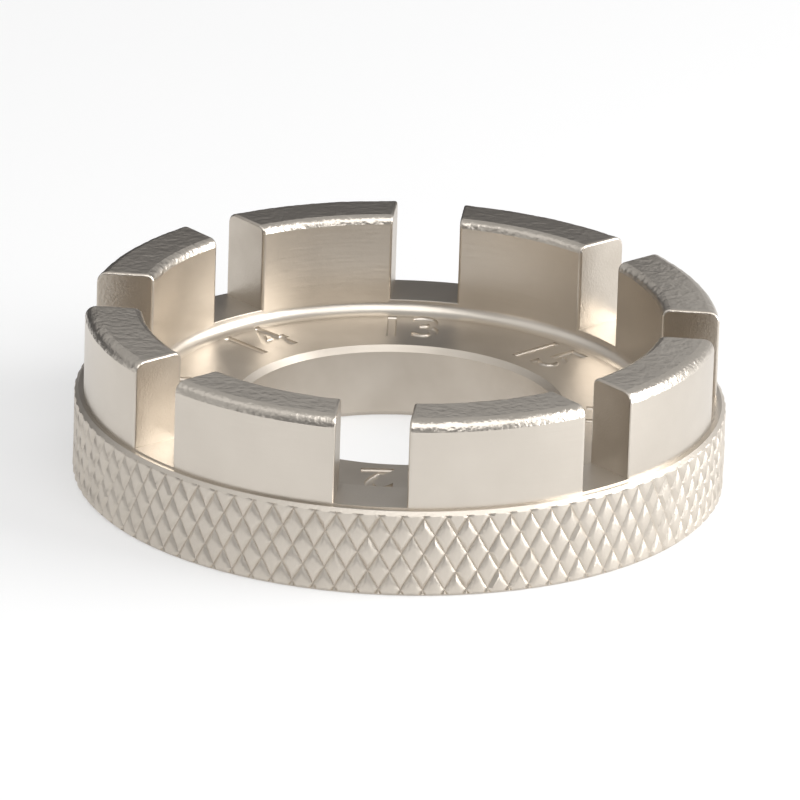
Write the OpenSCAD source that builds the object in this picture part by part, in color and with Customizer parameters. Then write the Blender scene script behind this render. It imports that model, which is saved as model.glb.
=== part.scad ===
// Ring spoke wrench: a turned and milled steel ring with a knurled rim, eight slots for
// spoke nipples of different sizes and an open bore. It lies on its flat underside, with
// the origin at the middle of that face and +Z up. All sizes are in millimetres.

/* [Rim] */
// Diameter of the knurled rim over its crests
rim_d = 40; // [39.5:0.5:46]
// Height of the knurled rim above the underside
rim_h = 5.4; // [5:0.1:7]
// Bevel on the rim's lower and upper edges
rim_bevel = 0.3; // [0.1:0.05:0.4]

/* [Knurl] */
// Distance between neighbouring grooves, measured round the rim
knurl_pitch = 1.34; // [1.2:0.02:2]
// Depth below the crests of the grooves that lean left, seen from outside
knurl_depth = 0.22; // [0.1:0.02:0.3]
// How much deeper the grooves that lean right are
knurl_extra = 0.04; // [0.02:0.01:0.06]
// Width of a left-leaning groove at the crests
knurl_w = 0.5; // [0.3:0.02:0.6]
// Lean of the grooves from upright, to either side, in degrees
knurl_lean = 30; // [20:1:40]

/* [Jaws] */
// Diameter of the standing ring that the slots divide into jaws
jaw_d = 38.8; // [37:0.2:39]
// Thickness of the jaws, from their outer face to the hollow
jaw_wall = 3.5; // [2.5:0.1:4.5]
// Height of the jaws above the rim's shoulder
jaw_h = 5.6; // [4:0.1:8]
// Rounding of the jaws' top edges
jaw_round = 0.5; // [0.2:0.05:1]

/* [Floor] */
// Thickness of the floor inside the ring
floor_t = 4.65; // [4:0.05:5]
// Fillet between the floor and the jaws
floor_fillet = 0.8; // [0.3:0.05:1.2]
// Diameter of the bore through the floor
bore_d = 19.7; // [16:0.1:22]
// Bevel on both edges of the bore
bore_bevel = 0.35; // [0.1:0.05:0.6]

/* [Slots] */
// Height of the slot floors above the rim's shoulder
slot_lift = 0.1; // [0:0.05:0.5]
// Width of the slot for 10 gauge nipples
slot_10_w = 5.8; // [5:0.1:6.2]
// Width of the slot for 11 gauge nipples
slot_11_w = 4.6; // [4.5:0.1:5]
// Width of the slot for 12 gauge nipples
slot_12_w = 4.4; // [4.2:0.1:4.6]
// Width of the slot for 13 gauge nipples
slot_13_w = 4.2; // [3.9:0.1:4.4]
// Width of both slots for 14 gauge nipples
slot_14_w = 3.7; // [3.5:0.1:3.9]
// Width of both slots for 15 gauge nipples
slot_15_w = 3.5; // [3.2:0.1:3.6]

/* [Hidden] */
$fn = 96;
cut = 1; // how far a cutter runs past the metal that it cuts

rim_r = rim_d / 2;
jaw_r = jaw_d / 2;
hollow_r = jaw_r - jaw_wall;
bore_r = bore_d / 2;
top_z = rim_h + jaw_h;
slot_z = rim_h + slot_lift;
// In turn from +X, anticlockwise seen from above
slot_widths = [slot_11_w, slot_15_w, slot_13_w, slot_14_w,
               slot_10_w, slot_14_w, slot_12_w, slot_15_w];

// What a round of radius r leaves of the square corner outside it
module corner(r) {
  difference() {
    square(r);
    circle(r);
  }
}

// What a bevel of size b takes off a square corner at the origin
module bevel(b) {
  polygon([[0, b], [b, 0], [b, b]]);
}

// Half of the body's section: across is the radius, up is the height
module section() {
  difference() {
    union() {
      translate([bore_r, 0]) square([rim_r - bore_r, floor_t]);
      translate([hollow_r, 0]) square([rim_r - hollow_r, rim_h]);
      translate([hollow_r, 0]) square([jaw_wall, top_z]);
      translate([hollow_r - floor_fillet, floor_t + floor_fillet]) mirror([0, 1])
        corner(floor_fillet);
    }
    // rim edges
    translate([rim_r - rim_bevel, rim_h - rim_bevel]) bevel(rim_bevel);
    translate([rim_r - rim_bevel, rim_bevel]) mirror([0, 1]) bevel(rim_bevel);
    // jaw tops
    translate([jaw_r - jaw_round, top_z - jaw_round]) corner(jaw_round);
    translate([hollow_r + jaw_round, top_z - jaw_round]) mirror([1, 0]) corner(jaw_round);
    // bore edges
    translate([bore_r + bore_bevel, floor_t - bore_bevel]) mirror([1, 0]) bevel(bore_bevel);
    translate([bore_r + bore_bevel, bore_bevel]) mirror([1, 0]) mirror([0, 1])
      bevel(bore_bevel);
  }
}

// Cutter of one slot, along +X from the middle of the hollow out past the rim
module slot(w) {
  translate([bore_r, -w / 2, slot_z]) cube([rim_r + cut - bore_r, w, jaw_h + cut]);
}

// Cutter of one straight V groove across the rim at +X. A positive angle leans it left,
// seen from outside. Its flanks have the same slope at any depth.
module groove(lean, depth) {
  length = (rim_h + 2 * cut) / cos(lean);
  half_w = depth * knurl_w / knurl_depth;
  translate([rim_r, 0, rim_h / 2]) rotate([lean, 0, 0])
    linear_extrude(height = length, center = true)
      polygon([[-depth, 0], [depth, half_w], [depth, -half_w]]);
}

// Grooves of both leans, which leave diamonds between them
module knurl() {
  count = round(PI * rim_d / knurl_pitch);
  for (i = [0 : count - 1])
    rotate(i * 360 / count) {
      groove(knurl_lean, knurl_depth);
      groove(-knurl_lean, knurl_depth + knurl_extra);
    }
}

// The turned ring with its slots milled and its rim knurled
module wrench_body() {
  color("#C2BAAE") difference() {
    rotate_extrude() section();
    for (i = [0 : len(slot_widths) - 1])
      rotate(i * 360 / len(slot_widths)) slot(slot_widths[i]);
    knurl();
  }
}

wrench_body();
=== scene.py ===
# %% [markdown]
# # A ring spoke wrench, turned, knurled, slotted and nickel plated
#
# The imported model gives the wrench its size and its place. It is one piece of steel, so this lesson
# makes one piece too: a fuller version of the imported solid, with broken edges, a rolled knurl with
# real depth, stamped numbers and a plated finish. All of it is in metres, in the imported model's
# own frame: the underside lies at height zero and the bore's axis is the Z axis.

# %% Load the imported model
import math

import bmesh
import bpy
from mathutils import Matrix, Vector, noise


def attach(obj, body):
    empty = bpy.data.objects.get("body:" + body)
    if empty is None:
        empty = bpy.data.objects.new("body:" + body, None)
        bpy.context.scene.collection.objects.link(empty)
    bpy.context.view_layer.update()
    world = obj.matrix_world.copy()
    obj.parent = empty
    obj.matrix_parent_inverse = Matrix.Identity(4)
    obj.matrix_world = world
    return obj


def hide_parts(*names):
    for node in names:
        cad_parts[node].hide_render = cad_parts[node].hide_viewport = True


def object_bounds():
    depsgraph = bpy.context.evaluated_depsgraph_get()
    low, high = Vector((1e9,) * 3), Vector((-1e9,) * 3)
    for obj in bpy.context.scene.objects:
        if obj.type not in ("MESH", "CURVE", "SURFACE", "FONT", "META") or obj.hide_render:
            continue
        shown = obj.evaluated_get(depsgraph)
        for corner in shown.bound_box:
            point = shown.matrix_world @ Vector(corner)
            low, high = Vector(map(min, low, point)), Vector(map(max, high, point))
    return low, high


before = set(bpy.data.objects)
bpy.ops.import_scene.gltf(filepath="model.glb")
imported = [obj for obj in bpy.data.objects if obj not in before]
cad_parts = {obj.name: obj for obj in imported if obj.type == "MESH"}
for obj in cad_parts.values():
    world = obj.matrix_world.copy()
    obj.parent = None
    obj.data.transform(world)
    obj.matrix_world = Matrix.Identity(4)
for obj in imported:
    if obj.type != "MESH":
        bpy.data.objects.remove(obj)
cad_low, cad_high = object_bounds()
MM = 0.001
print("packed box in mm:", [round(c / MM, 2) for c in (*cad_low, *cad_high)])

# %% [markdown]
# ## Camera
#
# The camera comes first, because it decides which details have to carry the picture. It looks down
# at the ring by about twenty degrees, from a little to the right of the front slot, and from far
# enough away that the far jaws are nearly as large as the near ones. It is aimed just under the
# middle of the ring, rolled by less than two degrees, and has no shift, so the same camera can be
# carried round the object for other views.

# %% Camera
CAMERA_AZIMUTH = 4.7
CAMERA_ELEVATION = 21.1
CAMERA_ROLL = 1.8
CAMERA_DISTANCE = 657 * MM
CAMERA_DROP = 0.6 * MM
CAMERA_CLIP = 10 * MM
VIEW_WIDTH = 49 * MM


def camera_seat(target, azimuth, elevation, distance):
    """The point at a distance from the target, seen from an azimuth and an elevation in degrees."""
    turn, lift = math.radians(azimuth), math.radians(elevation)
    across = distance * math.cos(lift)
    up = distance * math.sin(lift)
    return target + Vector((across * math.sin(turn), -across * math.cos(turn), up))


target = (cad_low + cad_high) / 2 - Vector((0, 0, CAMERA_DROP))
seat = camera_seat(target, CAMERA_AZIMUTH, CAMERA_ELEVATION, CAMERA_DISTANCE)
bpy.ops.object.camera_add(location=seat)
camera = bpy.context.object
camera.name = "camera"
aim = (target - seat).to_track_quat("-Z", "Y")
camera.rotation_euler = aim.to_euler()
camera.rotation_euler.rotate_axis("Z", math.radians(CAMERA_ROLL))
camera.data.lens = camera.data.sensor_width * CAMERA_DISTANCE / VIEW_WIDTH
camera.data.clip_start = CAMERA_CLIP
bpy.context.scene.camera = camera
print("lens in mm:", round(camera.data.lens, 1))

# %% [markdown]
# ## Helpers
#
# Every step below works as a person does in the viewport: make one object active, open it in edit
# mode, select some edges or faces, and run an operator. The selecting is done in code, by where an
# edge or a face lies, so it gives the same result each time.
#
# Blender's bevels and merges have small fixed tolerances that suit things the size of a room. The
# wrench is therefore modelled a thousand times too large, with one unit to the millimetre, and the
# finished piece is scaled down to metres.

# %% Helpers for edit mode


def open_piece(piece):
    """Makes a piece the only selected object and opens it in edit mode with nothing selected."""
    if bpy.context.mode != "OBJECT":
        bpy.ops.object.mode_set(mode="OBJECT")
    bpy.ops.object.select_all(action="DESELECT")
    piece.select_set(True)
    bpy.context.view_layer.objects.active = piece
    bpy.ops.object.mode_set(mode="EDIT")
    bpy.ops.mesh.select_all(action="DESELECT")


def close_piece():
    bpy.ops.object.mode_set(mode="OBJECT")


def select_edges(piece, wanted):
    """Selects the edges whose two end points pass the test, and says how many there are."""
    bpy.context.tool_settings.mesh_select_mode = (False, True, False)
    bpy.ops.mesh.select_all(action="DESELECT")
    mesh = bmesh.from_edit_mesh(piece.data)
    for edge in mesh.edges:
        edge.select_set(wanted(edge))
    bmesh.update_edit_mesh(piece.data)
    return sum(edge.select for edge in mesh.edges)


def select_faces(piece, wanted):
    """Selects the faces that pass the test, and says how many there are."""
    bpy.context.tool_settings.mesh_select_mode = (False, False, True)
    bpy.ops.mesh.select_all(action="DESELECT")
    mesh = bmesh.from_edit_mesh(piece.data)
    for face in mesh.faces:
        face.select_set(wanted(face))
    bmesh.update_edit_mesh(piece.data)
    return sum(face.select for face in mesh.faces)


def radius_of(point):
    return math.hypot(point.x, point.y)


def cut_with(piece, tool, operation, tool_crosses_itself=False):
    """Cuts or joins a closed tool with a closed piece, and removes the tool."""
    bpy.ops.object.select_all(action="DESELECT")
    bpy.context.view_layer.objects.active = piece
    piece.select_set(True)
    bpy.ops.object.modifier_add(type="BOOLEAN")
    boolean = piece.modifiers[-1]
    boolean.object = tool
    boolean.operation = operation
    boolean.solver = "EXACT"
    boolean.use_self = tool_crosses_itself
    bpy.ops.object.modifier_apply(modifier=boolean.name)
    bpy.data.objects.remove(tool)


def join(pieces):
    """Joins several pieces into the first of them."""
    bpy.ops.object.select_all(action="DESELECT")
    for piece in pieces:
        piece.select_set(True)
    bpy.context.view_layer.objects.active = pieces[0]
    bpy.ops.object.join()
    return pieces[0]


def turn_round(angle):
    """Turns the whole open mesh about the Z axis, anticlockwise seen from above.

    Without a window the rotate operator turns the other way, so it is given the negative angle.
    """
    bpy.ops.mesh.select_all(action="SELECT")
    bpy.ops.transform.rotate(value=-angle, orient_axis="Z", center_override=(0, 0, 0))


def report(piece):
    """Prints a piece's size and whether its surface is closed."""
    mesh = bmesh.new()
    mesh.from_mesh(piece.data)
    open_edges = sum(not edge.is_manifold for edge in mesh.edges)
    print(piece.name, "faces", len(mesh.faces), "open edges", open_edges,
          "volume mm3", round(mesh.calc_volume(), 1))
    mesh.free()


# %% [markdown]
# ## The turned blank
#
# On the lathe the bar is bored through, hollowed from above and stepped down on the outside, so
# every face is a turned one. A circle at the bore is extruded from corner to corner of the half
# section until it closes on itself. The corners are then bevelled, as a turner breaks them with the
# corner of the tool: flat at the rim and at the bore, very lightly where the slots will open, and as
# a hollow fillet at the foot of the jaws. The rim is left a little proud, because the knurl will
# trim it to size.

# %% Sizes of the turned blank
RIM_R = cad_high.x / MM
RIM_H = 5.4
RIM_BEVEL = 0.3
JAW_R = 19.4
JAW_WALL = 3.5
HOLLOW_R = JAW_R - JAW_WALL
TOP_Z = cad_high.z / MM
FLOOR_T = 4.65
FLOOR_FILLET = 0.8
FILLET_STEPS = 6
SLOT_LIFT = 0.1
SLOT_Z = RIM_H + SLOT_LIFT
BORE_R = 9.85
BORE_BEVEL = 0.35
SLOT_BREAK = 0.12
SLOT_BREAK_STEPS = 2
SPARE = 0.05
SINK = 0.02
SIDES = 376
TINY = 0.001

# %% Turn the blank


def turned(name, section, sides):
    """Extrudes a circle round a closed half section, given as (radius, height) corners."""
    radius, height = section[0]
    bpy.ops.mesh.primitive_circle_add(vertices=sides, radius=radius, location=(0, 0, 0))
    piece = bpy.context.object
    piece.name = name
    bpy.ops.object.mode_set(mode="EDIT")
    bpy.ops.transform.translate(value=(0, 0, height))
    for next_radius, next_height in section[1:] + section[:1]:
        climb = {"value": (0, 0, next_height - height)}
        bpy.ops.mesh.extrude_edges_move(TRANSFORM_OT_translate=climb)
        growth = next_radius / radius
        bpy.ops.transform.resize(value=(growth, growth, 1))
        radius, height = next_radius, next_height
    bpy.ops.mesh.select_all(action="SELECT")
    bpy.ops.mesh.remove_doubles(threshold=TINY)
    bpy.ops.mesh.normals_make_consistent(inside=False)
    return piece


def bevel_rings(piece, rings, width, segments):
    """Bevels the rings of edges that run round at the given (radius, height) corners."""

    def on_ring(edge):
        return any(
            all(abs(radius_of(v.co) - r) < TINY and abs(v.co.z - z) < TINY for v in edge.verts)
            for r, z in rings
        )

    select_edges(piece, on_ring)
    bpy.ops.mesh.bevel(offset=width, segments=segments, profile=0.5, affect="EDGES")


blank_r = RIM_R + SPARE
step_r = JAW_R - SINK
wall_r = HOLLOW_R + SINK
body = turned("wrench_body_plated", [
    (BORE_R, 0), (BORE_R, FLOOR_T), (wall_r, FLOOR_T), (wall_r, SLOT_Z),
    (step_r, SLOT_Z), (step_r, RIM_H), (blank_r, RIM_H), (blank_r, 0),
], SIDES)
bevel_rings(body, [(wall_r, FLOOR_T)], FLOOR_FILLET, FILLET_STEPS)
bevel_rings(body, [(BORE_R, 0), (BORE_R, FLOOR_T)], BORE_BEVEL, 1)
bevel_rings(body, [(blank_r, 0), (blank_r, RIM_H)], RIM_BEVEL + SPARE, 1)
bevel_rings(body, [(wall_r, SLOT_Z)], SLOT_BREAK, SLOT_BREAK_STEPS)
close_piece()
report(body)

# %% [markdown]
# ## The jaws
#
# Eight slots are milled through the standing ring, and what is left between them are the jaws. Two
# neighbouring slots seldom have the same width, so no two jaws are quite alike. Cutting the slots
# with a boolean would leave edges that bevel badly, so each jaw is spun as a clean grid instead.
#
# Its section is a standing rectangle with two rounded top corners, the outer one rounded more. One
# more point low on the inner side gives the grid a row just above the fillet, so the points that
# the joining adds stay below that row, and the inner wall above it is shaded evenly.
#
# The grid is spun through an eighth of a turn. These rounds were filed and then tumbled, so their
# points are sunk by uneven amounts, which fade to nothing at the two ends. Then every point slides
# round until the ends are flat and parallel to their slots. The sharp edges of both ends are broken
# with a small bevel, as tumbling leaves them.

# %% Sizes of the jaws
SLOT_WIDTHS = (4.6, 3.5, 4.2, 3.7, 5.8, 3.7, 4.4, 3.5)
SLOT_TURN = 2 * math.pi / len(SLOT_WIDTHS)
JAW_DEPTH = 0.3
JAW_FOOT = SLOT_Z - JAW_DEPTH
GUARD_DROP = 0.04
GUARD_Z = SLOT_Z - GUARD_DROP
INNER_ROUND = 0.5
OUTER_ROUND = 0.68
ROUND_STEPS = 6
JAW_STEPS = 44
ROUND_WEAR = 0.055
ROUND_WEAR_SPAN = 0.5
ROUND_WEAR_FADE = 1 / 16
ROUND_WEAR_SHIFT = 7
EDGE_BREAK = 0.16
EDGE_STEPS = 3

# %% Make the jaws


def jaw_section(name):
    """A standing rectangle at azimuth zero with its two top corners rounded."""
    bpy.ops.mesh.primitive_plane_add(size=1, location=(0, 0, 0))
    piece = bpy.context.object
    piece.name = name
    bpy.ops.object.mode_set(mode="EDIT")
    bpy.ops.transform.rotate(value=math.pi / 2, orient_axis="X", center_override=(0, 0, 0))
    bpy.ops.transform.resize(value=(JAW_WALL, 1, TOP_Z - JAW_FOOT))
    bpy.ops.transform.translate(value=((HOLLOW_R + JAW_R) / 2, 0, (JAW_FOOT + TOP_Z) / 2))
    select_edges(piece, lambda edge: max(v.co.x for v in edge.verts) < HOLLOW_R + TINY)
    bpy.ops.mesh.subdivide(number_cuts=1)
    for vertex in bmesh.from_edit_mesh(piece.data).verts:
        if JAW_FOOT + TINY < vertex.co.z < TOP_Z - TINY:
            vertex.co.z = GUARD_Z
    bmesh.update_edit_mesh(piece.data)
    bpy.context.tool_settings.mesh_select_mode = (True, False, False)
    for corner_r, size in ((HOLLOW_R, INNER_ROUND), (JAW_R, OUTER_ROUND)):
        bpy.ops.mesh.select_all(action="DESELECT")
        mesh = bmesh.from_edit_mesh(piece.data)
        for vertex in mesh.verts:
            at_corner = abs(vertex.co.x - corner_r) < TINY and vertex.co.z > TOP_Z - TINY
            vertex.select_set(at_corner)
        bmesh.update_edit_mesh(piece.data)
        bpy.ops.mesh.bevel(offset=size, segments=ROUND_STEPS, profile=0.5, affect="VERTICES")
    return piece


def rounding_at(point):
    """The size of the rounded top edge on this point's side of the jaw."""
    return OUTER_ROUND if radius_of(point) > (HOLLOW_R + JAW_R) / 2 else INNER_ROUND


def slide_ends(piece, slot_before, slot_after):
    """Slides every point round so that both ends lie flat against the sides of their slots."""
    mesh = bmesh.from_edit_mesh(piece.data)
    for vertex in mesh.verts:
        radius = radius_of(vertex.co)
        share = math.atan2(vertex.co.y, vertex.co.x) / SLOT_TURN
        low = math.asin(slot_before / 2 / radius)
        high = SLOT_TURN - math.asin(slot_after / 2 / radius)
        angle = low + share * (high - low)
        vertex.co.x = radius * math.cos(angle)
        vertex.co.y = radius * math.sin(angle)
    bmesh.update_edit_mesh(piece.data)


def wear_rounds(piece, index):
    """Sinks the points of both rounded top edges by uneven amounts, and by none at the two ends.

    The noise runs from -1 to 1, so the share of the full wear runs from 0 to 1.
    """
    mesh = bmesh.from_edit_mesh(piece.data)
    mesh.normal_update()
    for vertex in mesh.verts:
        if TINY < TOP_Z - vertex.co.z < rounding_at(vertex.co) - TINY:
            share = math.atan2(vertex.co.y, vertex.co.x) / SLOT_TURN
            fade = min(1, share / ROUND_WEAR_FADE, (1 - share) / ROUND_WEAR_FADE)
            place = vertex.co / ROUND_WEAR_SPAN + Vector((ROUND_WEAR_SHIFT * index, 0, 0))
            vertex.co -= vertex.normal * ROUND_WEAR * fade * (0.5 + 0.5 * noise.noise(place))
    bmesh.update_edit_mesh(piece.data)


def make_jaw(index):
    """One jaw, between the slot with this index and the next one round.

    Its two ends are the only faces with more than four corners.
    """
    piece = jaw_section(f"jaw_{index}")
    bpy.ops.mesh.select_all(action="SELECT")
    bpy.ops.mesh.spin(steps=JAW_STEPS, angle=-SLOT_TURN, center=(0, 0, 0), axis=(0, 0, 1))
    select_edges(piece, lambda edge: edge.is_boundary)
    bpy.ops.mesh.edge_face_add()
    bpy.ops.mesh.select_all(action="SELECT")
    bpy.ops.mesh.normals_make_consistent(inside=False)
    slot_after = SLOT_WIDTHS[(index + 1) % len(SLOT_WIDTHS)]
    wear_rounds(piece, index)
    slide_ends(piece, SLOT_WIDTHS[index], slot_after)
    ends = {edge for face in bmesh.from_edit_mesh(piece.data).faces if len(face.verts) > 4
            for edge in face.edges}
    select_edges(piece, lambda edge: edge in ends)
    bpy.ops.mesh.bevel(offset=EDGE_BREAK, segments=EDGE_STEPS, profile=0.5, affect="EDGES")
    turn_round(index * SLOT_TURN)
    close_piece()
    return piece


jaws = [make_jaw(index) for index in range(len(SLOT_WIDTHS))]
for jaw in jaws:
    report(jaw)

# %% Join the jaws to the blank
cut_with(body, join(jaws), "UNION")
report(body)

# %% [markdown]
# ## The numbers
#
# Each slot's gauge is stamped into the floor beside it, the top of the number outwards. A stamp has
# raised strokes with sloping sides, so here each number is a text, made thick, given a bevel and
# cut from the floor. Numbers that are struck by hand never stand quite alike, so each has its own
# place: how far round it stands, how far out, and how much it leans. A boolean takes much longer
# where the tool may cross itself, so it is told so only for the numbers that do.

# %% Sizes of the numbers
NUMBER_HEIGHT = 3.6
NUMBER_DEPTH = 0.2
NUMBER_STRAIGHT = 0.02
NUMBER_NARROWING = 0.86
NUMBER_BOLDNESS = -0.08
NUMBER_CURVE_STEPS = 4
FONT_DIGIT_SHARE = 0.73
# Label, azimuth in degrees, distance of its middle from the axis, and lean in degrees
NUMBERS = (
    (11, 1, 13, 2), (15, 50.5, 12.8, -4), (13, 93, 13.2, 1), (14, 136.5, 13.2, 3),
    (10, 179, 13.1, -2), (14, 224, 12.8, 2), (12, 274, 12.5, 1), (15, 316, 12.9, -3),
)
CROSSING_NUMBERS = (12, 14)

# %% Stamp the numbers


def number_stamp(label, azimuth, radius, lean):
    """A closed stamp of one number, whose strokes are widest at the floor and narrow below it.

    The bevel makes the strokes of a 2 and a 4 run into each other, so their stamps cross
    themselves.
    """
    bpy.ops.object.text_add(location=(0, 0, 0))
    stamp = bpy.context.object
    stamp.name = f"stamp_{label}_{azimuth}"
    stamp.data.body = str(label)
    stamp.data.size = NUMBER_HEIGHT / FONT_DIGIT_SHARE
    stamp.data.resolution_u = NUMBER_CURVE_STEPS
    stamp.data.align_x, stamp.data.align_y = "CENTER", "CENTER"
    stamp.data.extrude = NUMBER_STRAIGHT
    stamp.data.bevel_depth = NUMBER_DEPTH - NUMBER_STRAIGHT
    stamp.data.offset = NUMBER_BOLDNESS
    bpy.ops.object.convert(target="MESH")
    bpy.ops.object.mode_set(mode="EDIT")
    bpy.ops.mesh.select_all(action="SELECT")
    bpy.ops.mesh.remove_doubles(threshold=TINY)
    bpy.ops.mesh.normals_make_consistent(inside=False)
    bpy.ops.transform.resize(value=(NUMBER_NARROWING, 1, 1), center_override=(0, 0, 0))
    bpy.ops.transform.translate(value=(0, 0, FLOOR_T))
    turn_round(math.radians(lean))
    bpy.ops.transform.translate(value=(0, radius, 0))
    turn_round(math.radians(azimuth - 90))
    close_piece()
    return stamp


for label, azimuth, radius, lean in NUMBERS:
    stamp = number_stamp(label, azimuth, radius, lean)
    report(stamp)
    cut_with(body, stamp, "DIFFERENCE", tool_crosses_itself=label in CROSSING_NUMBERS)
report(body)

# %% [markdown]
# ## The knurl
#
# A knurl is rolled: two hardened wheels press slanting grooves that cross, and diamonds are left
# between them. The diamonds are modelled here and not the grooves. A tube of tall quads, one pitch
# wide, is poked, and dissolving its old edges leaves a lattice of rhombs. Each rhomb is then inset
# twice, which raises a diamond with sloping flanks and a softened crown. The crowns are left a
# little uneven, as rolling leaves them. The rim's edges are turned again after the rolling, so the
# grooves run out on the bevels: the lattice is cut off there, above and below. It then becomes the
# inside wall of a thick tube, and that tube is cut from the blank.

# %% Sizes of the knurl
KNURL_PITCH = 1.34
KNURL_LEAN = math.radians(30)
KNURL_FLANK_W = 0.21
KNURL_FLANK_D = 0.17
KNURL_CROWN_W = 0.12
KNURL_CROWN_D = 0.03
KNURL_UNEVEN = 0.04
KNURL_UNEVEN_SPAN = 0.7
KNURL_ROWS = 4
KNURL_ENDS = (0.12, 5.2)
CUTTER_WALL = 2

# %% Cut the knurl
knurl_count = round(2 * math.pi * RIM_R / KNURL_PITCH)
knurl_row = 2 * math.pi * RIM_R / knurl_count / math.tan(KNURL_LEAN)
groove_r = RIM_R - KNURL_FLANK_D - KNURL_CROWN_D - KNURL_UNEVEN


def rhomb_lattice(name):
    """A tube of rhombs, a pitch wide and a row tall, with half rhombs at both ends.

    A new circle starts at +Y. It is turned to start at +X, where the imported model's grooves start.
    """
    bpy.ops.mesh.primitive_circle_add(vertices=knurl_count, radius=groove_r, location=(0, 0, 0))
    piece = bpy.context.object
    piece.name = name
    bpy.ops.object.mode_set(mode="EDIT")
    turn_round(-math.pi / 2)
    bpy.ops.transform.translate(value=(0, 0, RIM_H / 2 - KNURL_ROWS / 2 * knurl_row))
    climb = {"value": (0, 0, knurl_row)}
    for _ in range(KNURL_ROWS):
        bpy.ops.mesh.extrude_edges_move(TRANSFORM_OT_translate=climb)
    bpy.ops.mesh.select_all(action="SELECT")
    bpy.ops.mesh.normals_make_consistent(inside=False)
    grid = {vertex.index for vertex in bmesh.from_edit_mesh(piece.data).verts}
    bpy.ops.mesh.poke()

    def old_inner_edge(edge):
        return len(edge.link_faces) == 2 and all(v.index in grid for v in edge.verts)

    select_edges(piece, old_inner_edge)
    bpy.ops.mesh.dissolve_edges(use_verts=False)
    return piece


def raise_diamonds(piece):
    """Insets every whole rhomb twice, outwards, and leaves the crowns slightly uneven."""
    count = select_faces(piece, lambda face: len(face.verts) == 4)
    bpy.ops.mesh.inset(thickness=KNURL_FLANK_W, depth=KNURL_FLANK_D, use_individual=True)
    bpy.ops.mesh.inset(thickness=KNURL_CROWN_W, depth=KNURL_CROWN_D, use_individual=True)
    mesh = bmesh.from_edit_mesh(piece.data)
    for vertex in mesh.verts:
        if vertex.select:
            rise = KNURL_UNEVEN * noise.noise(vertex.co / KNURL_UNEVEN_SPAN)
            vertex.co.xy *= 1 + rise / RIM_R
    bmesh.update_edit_mesh(piece.data)
    return count


def trim_ends(piece, low, high):
    """Cuts an open tube off square at a low and at a high level."""
    for level, upwards in ((low, -1), (high, 1)):
        bpy.ops.mesh.select_all(action="SELECT")
        bpy.ops.mesh.bisect(plane_co=(0, 0, level), plane_no=(0, 0, upwards), clear_outer=True)


def make_wall(piece, thickness):
    """Pulls both open ends of a tube outwards and joins them, which makes a closed thick ring."""
    select_edges(piece, lambda edge: edge.is_boundary)
    bpy.ops.mesh.extrude_edges_move()
    growth = 1 + thickness / RIM_R
    bpy.ops.transform.resize(value=(growth, growth, 1))
    select_edges(piece, lambda edge: edge.is_boundary)
    bpy.ops.mesh.bridge_edge_loops()
    bpy.ops.mesh.select_all(action="SELECT")
    bpy.ops.mesh.normals_make_consistent(inside=False)


cutter = rhomb_lattice("knurl_cutter")
diamonds = raise_diamonds(cutter)
trim_ends(cutter, *KNURL_ENDS)
make_wall(cutter, CUTTER_WALL)
close_piece()
print("diamonds round the rim:", diamonds)
cut_with(body, cutter, "DIFFERENCE")
report(body)

# %% [markdown]
# ## Scale and shading
#
# The piece now goes down to metres, about the frame's origin, so its object stays unscaled. Faces
# that meet at a shallow angle are shaded as one surface, but not across the borders of the uneven
# rounds: their unevenness would draw streaks over the flat tops and walls, so those edges are marked
# sharp. Weighted normals keep the large turned and flat faces true beside their small bevels.

# %% Scale to metres and shade
SMOOTH_ANGLE = math.radians(32)
ROUND_START = math.radians(1)
open_piece(body)
bpy.ops.mesh.select_all(action="SELECT")
bpy.ops.transform.resize(value=(MM, MM, MM), center_override=(0, 0, 0))
close_piece()
bpy.ops.object.shade_smooth_by_angle(angle=SMOOTH_ANGLE)


def borders_round(edge):
    """Whether an edge parts a jaw's flat top or its wall from one of the uneven rounds."""
    levels = (TOP_Z, TOP_Z - INNER_ROUND, TOP_Z - OUTER_ROUND)
    level = any(all(abs(v.co.z / MM - z) < TINY for v in edge.verts) for z in levels)
    return level and edge.calc_face_angle(0) > ROUND_START


open_piece(body)
print("edges round the rounds:", select_edges(body, borders_round))
bpy.ops.mesh.mark_sharp()
close_piece()
bpy.ops.object.modifier_add(type="WEIGHTED_NORMAL")
body.modifiers[-1].keep_sharp = True
bpy.ops.object.modifier_apply(modifier=body.modifiers[-1].name)
triangles = sum(len(face.vertices) - 2 for face in body.data.polygons)
high = [round(max(v.co[axis] for v in body.data.vertices) / MM, 3) for axis in range(3)]
low = [round(min(v.co[axis] for v in body.data.vertices) / MM, 3) for axis in range(3)]
print("triangles", triangles, "box in mm", low, high)

# %% [markdown]
# ## Materials
#
# The wrench is carbon steel with a satin nickel plate. Nickel is a warm, slightly yellow grey metal.
# The plate is only some hundredths of a millimetre thick, so it copies whatever lies under it, and
# every tool mark still shows. There is one material for each way in which the steel was worked: the
# turned walls, the turned floor, the tumbled jaw tops and their rough rounded edges, the sides and
# floors of the milled slots, and the knurl. The floor of the ring, the bore and the sides of the
# slots drift towards a darker tone, which is painted shade for these hollows.
#
# All of the materials read the piece's own coordinates, and each pattern has its size in
# millimetres. The turning tool's real marks are about a tenth of a millimetre apart, which is too
# fine to show from here, so they are drawn some three times coarser.

# %% Colours and the node function


def linear(code):
    """An sRGB colour such as "#CFC7BB" as the linear values that Blender works with."""
    shares = [int(code[i:i + 2], 16) / 255 for i in (1, 3, 5)]
    return [*(s / 12.92 if s <= 0.04045 else ((s + 0.055) / 1.055) ** 2.4 for s in shares), 1]


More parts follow.
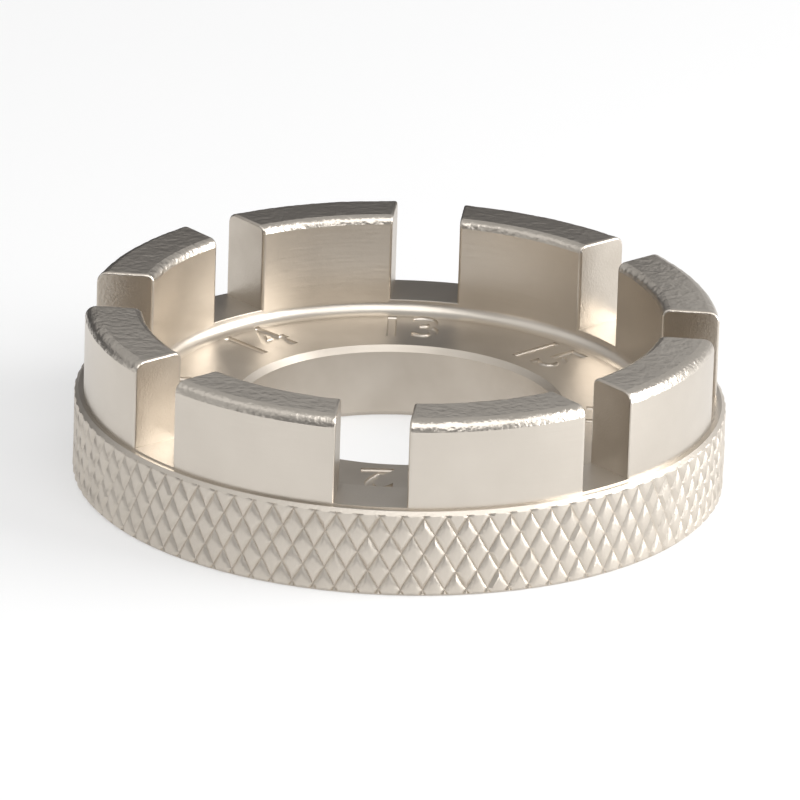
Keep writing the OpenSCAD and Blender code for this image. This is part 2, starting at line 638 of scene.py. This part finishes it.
def add(tree, kind, sockets, **settings):
    """Adds a node, sets its options, and fills its sockets with values or with other outputs."""
    node = tree.nodes.new(kind)
    for name, value in settings.items():
        setattr(node, name, value)
    for socket, value in sockets.items():
        if isinstance(value, bpy.types.NodeSocket):
            tree.links.new(value, node.inputs[socket])
        else:
            node.inputs[socket].default_value = value
    return node


def per_mm(size):
    """How many patterns of a size in millimetres fit into a metre."""
    return 1 / (size * MM)


NICKEL = linear("#DCD4C9")
NICKEL_DULL = linear("#CDC5BA")
# The third tone is darker still: it paints shade into the hollows, on the ring's floor, the bore and
# the slots' sides.
NICKEL_PAINTED_SHADE = linear("#B8AEA1")
for tone in (NICKEL, NICKEL_DULL, NICKEL_PAINTED_SHADE):
    print("linear tone:", [round(share, 3) for share in tone[:3]])

# %% The plated finishes


def plated_metal(name, roughness):
    """A new nickel material, with its shader and the piece's own coordinates."""
    material = bpy.data.materials.new(name)
    material.use_nodes = True
    tree = material.node_tree
    shader = tree.nodes["Principled BSDF"]
    shader.inputs["Metallic"].default_value = 1
    shader.inputs["Roughness"].default_value = roughness
    place = add(tree, "ShaderNodeTexCoord", {}).outputs["Object"]
    return material, tree, shader, place


def cloudy_colour(tree, shader, place, size, darker=NICKEL_DULL):
    """Lets nickel's colour drift softly to a darker tone, in clouds of a size in millimetres."""
    clouds = add(tree, "ShaderNodeTexNoise", {"Vector": place, "Scale": per_mm(size), "Detail": 3})
    tone = add(tree, "ShaderNodeMix", {
        0: clouds.outputs["Fac"], 6: darker, 7: NICKEL,
    }, data_type="RGBA")
    tree.links.new(tone.outputs[2], shader.inputs["Base Color"])


def grain(tree, place, size, depth, normal=None):
    """A bump of fine grains, with their size and depth in millimetres."""
    spots = add(tree, "ShaderNodeTexNoise", {"Vector": place, "Scale": per_mm(size), "Detail": 1})
    sockets = {"Height": spots.outputs["Fac"], "Distance": depth * MM, "Strength": 1}
    if normal:
        sockets["Normal"] = normal
    return add(tree, "ShaderNodeBump", sockets).outputs["Normal"]


def turning_marks(tree, place, pitch, depth, length):
    """A bump of fine lines round the axis, with their spacing, depth and length in millimetres.

    The pattern's first two coordinates run round the axis, the third outwards and the fourth up.
    """
    axes = add(tree, "ShaderNodeSeparateXYZ", {"Vector": place})
    flat = add(tree, "ShaderNodeVectorMath", {0: place, 1: (1, 1, 0)}, operation="MULTIPLY")
    radius = add(tree, "ShaderNodeVectorMath", {0: flat.outputs[0]}, operation="LENGTH")
    bearing = add(tree, "ShaderNodeVectorMath", {0: flat.outputs[0]}, operation="NORMALIZE")
    round_axis = add(tree, "ShaderNodeVectorMath", {
        0: bearing.outputs[0], "Scale": HOLLOW_R / length,
    }, operation="SCALE")
    outward = add(tree, "ShaderNodeMath", {
        0: radius.outputs["Value"], 1: per_mm(pitch),
    }, operation="MULTIPLY")
    upward = add(tree, "ShaderNodeMath", {
        0: axes.outputs["Z"], 1: per_mm(pitch),
    }, operation="MULTIPLY")
    lift = add(tree, "ShaderNodeCombineXYZ", {"Z": outward.outputs[0]})
    point = add(tree, "ShaderNodeVectorMath", {
        0: round_axis.outputs[0], 1: lift.outputs[0],
    }, operation="ADD")
    lines = add(tree, "ShaderNodeTexNoise", {
        "Vector": point.outputs[0], "W": upward.outputs[0], "Scale": 1, "Detail": 1,
    }, noise_dimensions="4D")
    return add(tree, "ShaderNodeBump", {
        "Height": lines.outputs["Fac"], "Distance": depth * MM, "Strength": 1,
    }).outputs["Normal"]


def turned_walls():
    """Nickel over the turned walls: a soft gleam with fine rings round the axis."""
    material, tree, shader, place = plated_metal("nickel_plate_over_turned_walls", 0.33)
    cloudy_colour(tree, shader, place, size=4)
    rings = turning_marks(tree, place, pitch=0.26, depth=0.01, length=2.5)
    bumps = grain(tree, place, size=0.3, depth=0.003, normal=rings)
    tree.links.new(bumps, shader.inputs["Normal"])
    return material


def turned_floor():
    """Nickel over the turned floor and bore: a duller gleam than the walls', with fainter rings."""
    material, tree, shader, place = plated_metal("nickel_plate_over_turned_floor", 0.4)
    # The darker of the two tones here is painted shade for the ring's floor and the bore.
    cloudy_colour(tree, shader, place, size=4, darker=NICKEL_PAINTED_SHADE)
    rings = turning_marks(tree, place, pitch=0.26, depth=0.005, length=6)
    bumps = grain(tree, place, size=0.3, depth=0.003, normal=rings)
    tree.links.new(bumps, shader.inputs["Normal"])
    return material


def jaw_tops():
    """Nickel over the jaws' flat tops, which tumbling has left softly dented."""
    material, tree, shader, place = plated_metal("nickel_plate_over_jaw_tops", 0.34)
    cloudy_colour(tree, shader, place, size=1.5)
    rings = turning_marks(tree, place, pitch=0.4, depth=0.006, length=3)
    bumps = grain(tree, place, size=0.4, depth=0.045, normal=rings)
    tree.links.new(bumps, shader.inputs["Normal"])
    return material


def rough_edges():
    """Nickel over the jaws' rounded top edges, where filing and tumbling left fine facets."""
    material, tree, shader, place = plated_metal("nickel_plate_over_rough_edges", 0.32)
    cloudy_colour(tree, shader, place, size=2)
    tree.links.new(grain(tree, place, size=0.3, depth=0.05), shader.inputs["Normal"])
    return material


def slot_sides():
    """Nickel over the slots' milled sides, with a fine grain and no clear direction."""
    material, tree, shader, place = plated_metal("nickel_plate_over_slot_sides", 0.34)
    # The darker of the two tones here is painted shade for the sides of the slots.
    cloudy_colour(tree, shader, place, size=3, darker=NICKEL_PAINTED_SHADE)
    tree.links.new(grain(tree, place, size=0.15, depth=0.012), shader.inputs["Normal"])
    return material


def slot_floors():
    """Nickel over the slots' floors, which the cutter's rim leaves rougher than the sides."""
    material, tree, shader, place = plated_metal("nickel_plate_over_slot_floors", 0.42)
    cloudy_colour(tree, shader, place, size=3)
    tree.links.new(grain(tree, place, size=0.15, depth=0.012), shader.inputs["Normal"])
    return material


def knurled_rim():
    """Nickel over the rolled knurl, whose pressed metal is dull and slightly grainy."""
    material, tree, shader, place = plated_metal("nickel_plate_over_knurled_rim", 0.46)
    cloudy_colour(tree, shader, place, size=2)
    tree.links.new(grain(tree, place, size=0.16, depth=0.015), shader.inputs["Normal"])
    return material


WALLS, FLOOR, TOPS, EDGES, SLOT_SIDES, SLOT_FLOORS, KNURL = range(7)
FINISHES = [
    turned_walls(), turned_floor(), jaw_tops(), rough_edges(),
    slot_sides(), slot_floors(), knurled_rim(),
]
for finish in FINISHES:
    body.data.materials.append(finish)

# %% Give each face its finish
MOSTLY = 0.9
ROUNDED_OUTWARD = 0.12
ROUNDED_UPWARD = 0.05


def finish_of(face):
    """The number of the finish that a face of the finished piece takes.

    Outward and upward are shares of the face's normal. Only a slot's side has little of both.
    """
    middle = face.calc_center_median() / MM
    radius = radius_of(middle)
    outward = (face.normal.x * middle.x + face.normal.y * middle.y) / radius
    upward = face.normal.z
    rounded = abs(outward) > ROUNDED_OUTWARD and upward > ROUNDED_UPWARD
    if radius > JAW_R + SINK and abs(upward) < MOSTLY and middle.z < RIM_H:
        return KNURL
    if middle.z > TOP_Z - TINY:
        return TOPS
    if middle.z > TOP_Z - rounding_at(middle) and rounded:
        return EDGES
    if middle.z > SLOT_Z - TINY and math.hypot(outward, upward) < MOSTLY:
        return SLOT_SIDES
    if abs(middle.z - SLOT_Z) < TINY:
        return SLOT_FLOORS
    if radius < HOLLOW_R - FLOOR_FILLET and middle.z > TINY:
        return FLOOR
    return WALLS


open_piece(body)
mesh = bmesh.from_edit_mesh(body.data)
counts = [0] * len(FINISHES)
for face in mesh.faces:
    face.material_index = finish_of(face)
    counts[face.material_index] += 1
bmesh.update_edit_mesh(body.data)
close_piece()
print("faces of each finish:", dict(zip((finish.name for finish in FINISHES), counts)))

# %% [markdown]
# ## Floor and light
#
# Polished metal shows its surroundings, so they matter as much as the finish. The wrench lies on a
# wide white floor under a plain white sky, with a strong soft box at the right and weaker ones in
# front and at the left. Two dark cards stand behind the wrench and in front of it, out of the
# camera's sight: only the metal's reflections see them, and they give the jaw tops, the walls and
# the floor of the ring the depth that a white room alone would wash out. The floor glows a little
# for the camera and for reflections, which keeps it near white while the wrench's shadow stays.

# %% Floor
FLOOR_SIZE = 4
FLOOR_GLOW = 0.42
bpy.ops.mesh.primitive_plane_add(size=FLOOR_SIZE, location=(0, 0, 0))
floor = bpy.context.object
floor.name = "floor"
paper = bpy.data.materials.new("white_paper")
paper.use_nodes = True
paper_shader = paper.node_tree.nodes["Principled BSDF"]
paper_shader.inputs["Base Color"].default_value = linear("#F4F4F4")
paper_shader.inputs["Roughness"].default_value = 0.9
paper_shader.inputs["Specular IOR Level"].default_value = 0.1
rays = add(paper.node_tree, "ShaderNodeLightPath", {}).outputs
seen = add(paper.node_tree, "ShaderNodeMath", {
    0: rays["Is Camera Ray"], 1: rays["Is Glossy Ray"],
}, operation="ADD")
seen = add(paper.node_tree, "ShaderNodeMath", {
    0: seen.outputs[0], 1: rays["Is Transmission Ray"],
}, operation="ADD", use_clamp=True)
share = add(paper.node_tree, "ShaderNodeMath", {
    0: seen.outputs[0], 1: FLOOR_GLOW,
}, operation="MULTIPLY")
glow = add(paper.node_tree, "ShaderNodeEmission", {"Color": linear("#FFFFFF"), "Strength": 1})
lit_paper = add(paper.node_tree, "ShaderNodeMixShader", {
    0: share.outputs[0], 1: paper_shader.outputs[0], 2: glow.outputs[0],
})
paper_end = paper.node_tree.nodes["Material Output"]
paper.node_tree.links.new(lit_paper.outputs[0], paper_end.inputs["Surface"])
floor.data.materials.append(paper)
print("floor across in m:", round(floor.dimensions.x, 1))

# %% Dark cards
black = bpy.data.materials.new("black_card")
black.use_nodes = True
black_shader = black.node_tree.nodes["Principled BSDF"]
black_shader.inputs["Base Color"].default_value = linear("#303034")
black_shader.inputs["Roughness"].default_value = 0.9


def dark_card(name, width, height, turn, middle):
    """An upright card that only the metal's reflections see, turned by degrees about its middle."""
    bpy.ops.mesh.primitive_plane_add(size=1, location=(0, 0, 0))
    card = bpy.context.object
    card.name = name
    bpy.ops.object.mode_set(mode="EDIT")
    bpy.ops.transform.rotate(value=math.pi / 2, orient_axis="X", center_override=(0, 0, 0))
    bpy.ops.transform.resize(value=(width, 1, height))
    turn_round(math.radians(turn))
    bpy.ops.transform.translate(value=middle)
    close_piece()
    card.data.materials.append(black)
    card.visible_camera = False
    card.visible_diffuse = False
    card.visible_shadow = False
    return card


back_middle = (-50 * MM, 40 * MM, 16.5 * MM)
back_card = dark_card("back_card", width=130 * MM, height=32 * MM, turn=10, middle=back_middle)
front_middle = (0, -200 * MM, 50 * MM)
front_card = dark_card("front_card", width=400 * MM, height=90 * MM, turn=0, middle=front_middle)
for card in (back_card, front_card):
    print(card.name, "in mm:", [round(side / MM) for side in card.dimensions])

# %% Sky and lamps
world = bpy.data.worlds.new("white_room")
bpy.context.scene.world = world
world.use_nodes = True
sky = world.node_tree.nodes["Background"]
sky.inputs["Color"].default_value = linear("#FFFFFF")
sky.inputs["Strength"].default_value = 0.5


def soft_box(name, azimuth, elevation, distance, size, radiance):
    """A square soft box that looks at the wrench, its cloth as bright as the given radiance."""
    seat = camera_seat(target, azimuth, elevation, distance)
    bpy.ops.object.light_add(type="AREA", location=seat)
    lamp = bpy.context.object
    lamp.name = name
    lamp.data.size = size
    lamp.data.energy = radiance * math.pi * size ** 2
    lamp.rotation_euler = (target - seat).to_track_quat("-Z", "Y").to_euler()
    lamp.visible_camera = False
    return lamp


# Name, azimuth and elevation in degrees, distance, size, radiance
LAMPS = (
    ("right_lamp", 88, 24, 300 * MM, 250 * MM, 5.2),
    ("front_lamp", 16, 50, 400 * MM, 360 * MM, 1.65),
    ("left_lamp", -75, 48, 400 * MM, 300 * MM, 0.4),
)
for settings in LAMPS:
    lamp = soft_box(*settings)
    print(lamp.name, "in watts:", round(lamp.data.energy, 2))
bpy.context.scene.view_settings.view_transform = "Standard"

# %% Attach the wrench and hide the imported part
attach(body, "root")
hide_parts("wrench_body")
